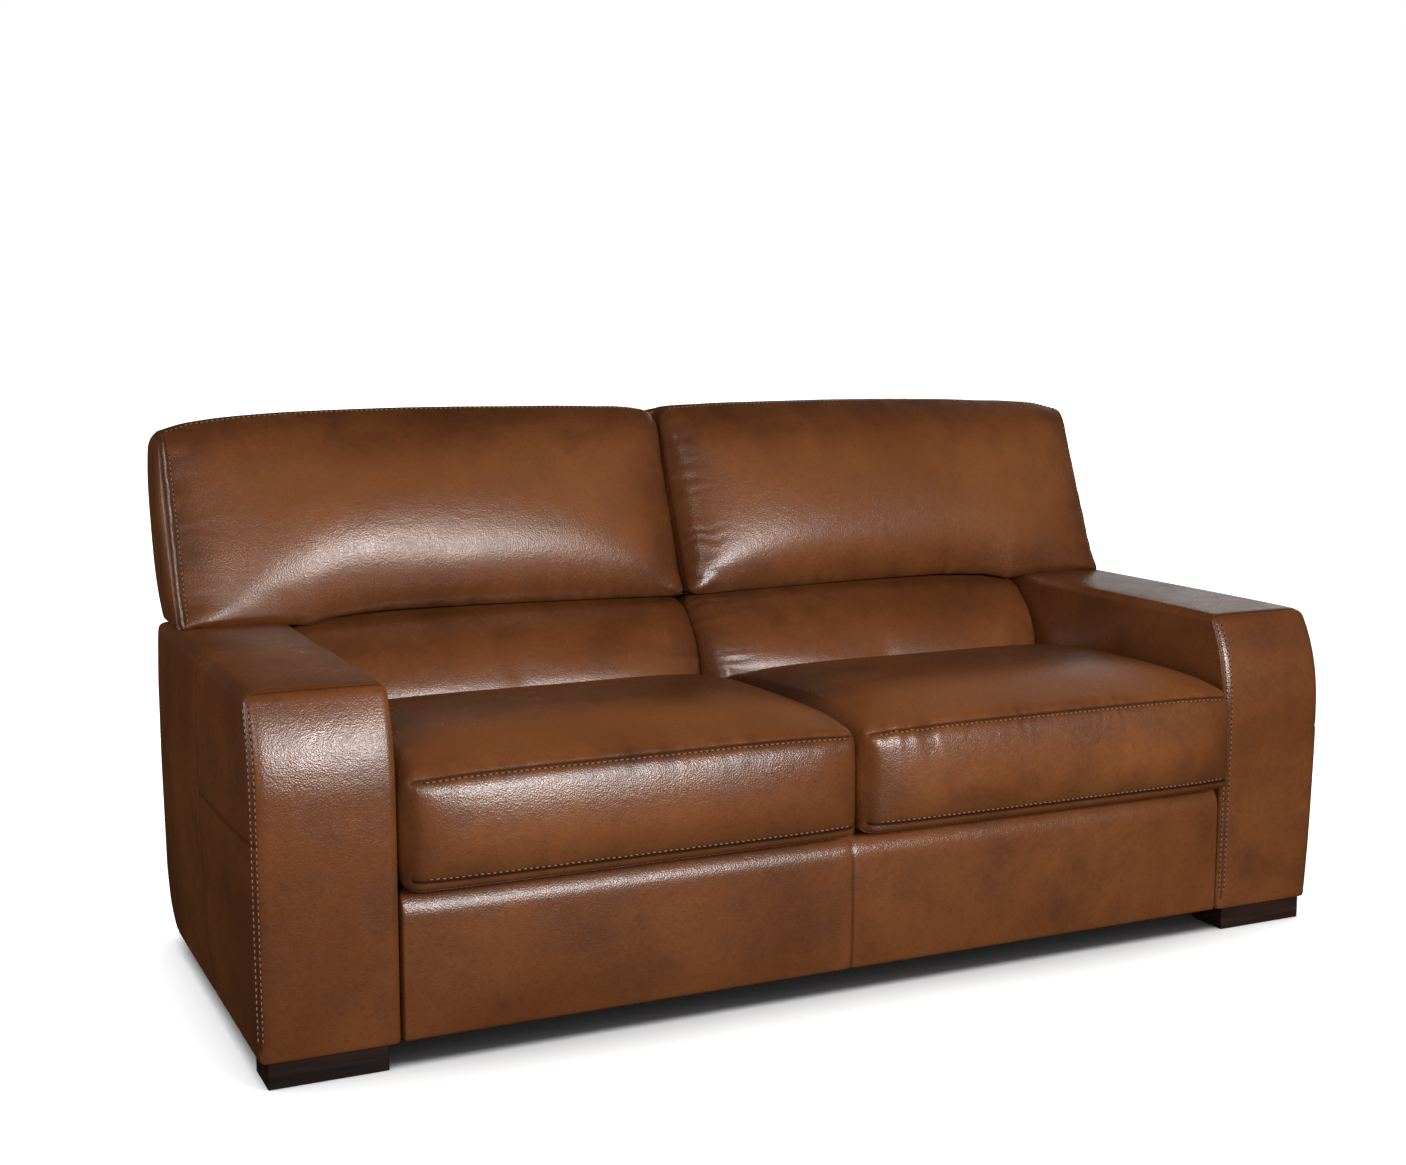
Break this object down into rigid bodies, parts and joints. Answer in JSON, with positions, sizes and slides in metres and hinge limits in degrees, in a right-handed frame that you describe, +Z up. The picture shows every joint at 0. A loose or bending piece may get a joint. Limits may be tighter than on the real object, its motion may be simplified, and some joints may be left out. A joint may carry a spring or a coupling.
{
  "type": "leather sofa",
  "caption": "Low leather sofa with broad track arms, loose seat cushions, tight lumbar pads, tall raked back cushions over the arms and dark wooden block feet.",
  "frame": {"origin": "on the floor, under the middle of the overall box", "axes": "+X to the right of someone facing the sofa's front, along its width; the front faces -Y; +Z up"},
  "size_m": [2.06, 0.9942, 0.987],
  "materials": {
    "leather": "satin",
    "foam": "matte",
    "timber": "matte",
    "plywood": "matte",
    "feet": "satin",
    "steel": "satin",
    "cloth": "matte",
    "webbing": "matte"
  },
  "bodies": {
    "root": {"arm_cover_left": "leather", "arm_cover_right": "leather", "arm_front_board_left": "plywood", "arm_front_board_right": "plywood", "arm_inner_board_left": "plywood", "arm_inner_board_right": "plywood", "arm_outer_board_left": "plywood", "arm_outer_board_right": "plywood", "arm_rear_board_left": "plywood", "arm_rear_board_right": "plywood", "arm_top_board_left": "plywood", "arm_top_board_right": "plywood", "back_cover_left": "leather", "back_cover_right": "leather", "back_end_board_left": "timber", "back_end_board_right": "timber", "back_foam_left": "foam", "back_foam_right": "foam", "back_lumbar_rail": "timber", "back_post_centre": "timber", "back_post_left": "timber", "back_post_right": "timber", "back_top_rail": "timber", "back_webbing": "webbing", "base_front_rail": "timber", "base_left_rail": "timber", "base_rear_rail": "timber", "base_right_rail": "timber", "base_spine_rail": "timber", "base_spring_rail": "timber", "corner_block_left": "timber", "corner_block_right": "timber", "dust_cover": "cloth", "foot_bolt_front_left": "steel", "foot_bolt_front_right": "steel", "foot_bolt_rear_left": "steel", "foot_bolt_rear_right": "steel", "foot_front_left": "feet", "foot_front_right": "feet", "foot_rear_left": "feet", "foot_rear_right": "feet", "front_rail_cover": "leather", "lumbar_cover_left": "leather", "lumbar_cover_right": "leather", "lumbar_foam_left": "foam", "lumbar_foam_right": "foam", "outside_back_cover": "leather", "seat_deck_cloth": "cloth", "seat_spring_left_1": "steel", "seat_spring_left_2": "steel", "seat_spring_left_3": "steel", "seat_spring_left_4": "steel", "seat_spring_right_1": "steel", "seat_spring_right_2": "steel", "seat_spring_right_3": "steel", "seat_spring_right_4": "steel"},
    "seat_cushion_left": {"seat_cover_left": "leather", "seat_foam_left": "foam"},
    "seat_cushion_right": {"seat_cover_right": "leather", "seat_foam_right": "foam"}
  },
  "joints": [
    {"name": "seat_cushion_left_lift", "type": "slide", "parent": "root", "child": "seat_cushion_left", "axis": [0, -0.7071, 0.7071], "range_m": [0, 0.8]},
    {"name": "seat_cushion_right_lift", "type": "slide", "parent": "root", "child": "seat_cushion_right", "axis": [0, -0.7071, 0.7071], "range_m": [0, 0.8]}
  ]
}
